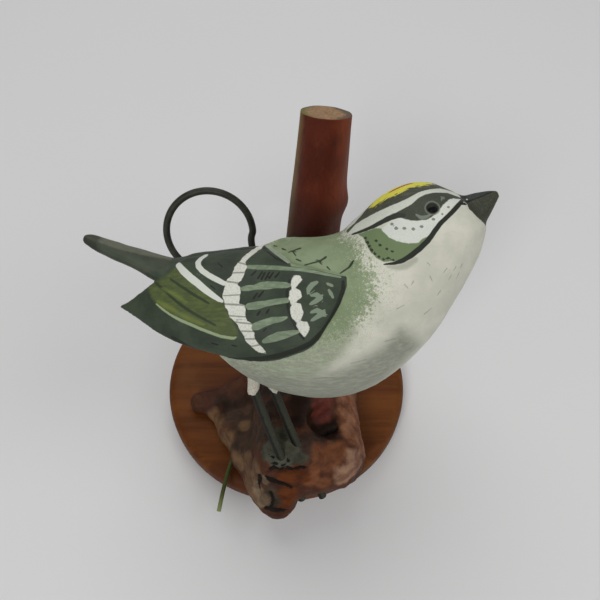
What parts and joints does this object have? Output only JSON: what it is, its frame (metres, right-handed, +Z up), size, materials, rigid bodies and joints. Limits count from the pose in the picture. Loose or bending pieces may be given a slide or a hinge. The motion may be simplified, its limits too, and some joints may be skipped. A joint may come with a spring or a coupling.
{
  "type": "carved kinglet on a burl perch",
  "caption": "Painted wood kinglet on wire legs, standing on a root burl with an upright stick and a wire ring, on a round varnished base.",
  "frame": {"origin": "centre of the round base's flat underside", "axes": "+Z up out of the base; +X the way the beak points; -Y the front, where the burl's broken face and the bird's right side look"},
  "size_m": [0.0939, 0.0874, 0.093],
  "materials": {
    "base_wood": "red-brown varnish with a low sheen, fine straight grain, softened rim",
    "burl_wood": "smooth red-brown bark with a low sheen, weathered grey and tan strips, an orange broken face with dark cracks",
    "painted_wood": "carved wood under hand-brushed satin paint in sage green, slate green, cream and white, with black, yellow and olive markings",
    "eye_glass": "polished black bead",
    "leg_wire": "dark grey-green paint, worn lighter along one side",
    "ring_wire": "dark olive-grey coating, satin",
    "stem_green": "leaf-green paint, matt"
  },
  "bodies": {
    "root": {"base_disc": "base_wood", "burl_and_stick": "burl_wood", "bird": "painted_wood", "right_eye": "eye_glass", "left_eye": "eye_glass", "right_leg": "leg_wire", "left_leg": "leg_wire", "wire_ring": "ring_wire", "green_stem": "stem_green"}
  },
  "joints": []
}
